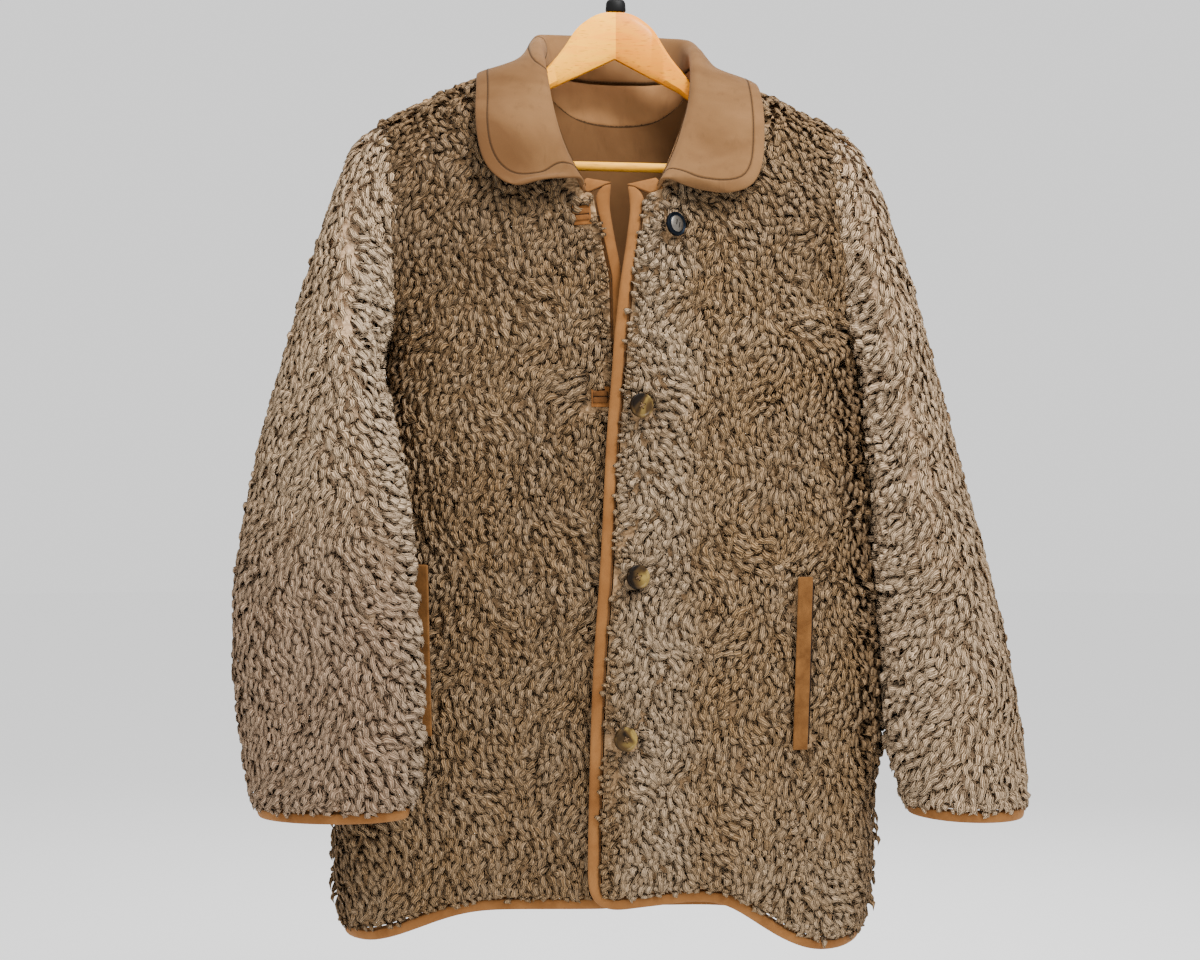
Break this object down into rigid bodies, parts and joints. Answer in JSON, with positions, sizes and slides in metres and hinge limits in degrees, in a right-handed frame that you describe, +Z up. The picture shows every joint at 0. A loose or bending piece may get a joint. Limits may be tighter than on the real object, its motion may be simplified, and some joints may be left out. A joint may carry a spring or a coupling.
{
  "type": "teddy coat on a wooden hanger",
  "caption": "Hip-length coat of curly long-pile cloth with a suede collar and suede-bound edges, buttoned front and welt pockets, hanging open on a wooden clothes hanger",
  "frame": {"origin": "the inner top of the hanger's hook, where a rail would carry it", "axes": "+Z up, the coat faces -Y, +X towards the wearer's left"},
  "size_m": [0.7718, 0.2509, 0.9817],
  "materials": {
    "pile": "curly brown-beige pile outside, suede inside",
    "sleeve pile": "longer cream-beige pile outside, suede inside",
    "collar suede": "matt tan suede",
    "binding suede": "matt orange-tan suede",
    "button metal": "domed bright metal with a dark blue rim",
    "horn": "streaked brown horn, satin",
    "wood": "pale lacquered wood",
    "wire": "bright wire",
    "black plastic": "plain black"
  },
  "bodies": {
    "root": {"front_right": "pile", "front_left": "pile", "back": "pile", "sleeve_right": "sleeve pile", "sleeve_left": "sleeve pile", "collar_stand": "collar suede", "collar_fall": "collar suede", "front_binding_right": "binding suede", "front_binding_left": "binding suede", "neck_binding_right": "binding suede", "neck_binding_left": "binding suede", "back_hem_binding": "binding suede", "cuff_binding_right": "binding suede", "cuff_binding_left": "binding suede", "pocket_welt_right": "binding suede", "pocket_welt_left": "binding suede", "buttonhole_1": "binding suede", "buttonhole_2": "binding suede", "buttonhole_3": "binding suede", "buttonhole_4": "binding suede", "button_1": "button metal", "button_2": "horn", "button_3": "horn", "button_4": "horn", "hanger_arms": "wood", "hanger_bar": "wood", "hanger_hook": "wire", "hook_collar": "black plastic"}
  },
  "joints": []
}
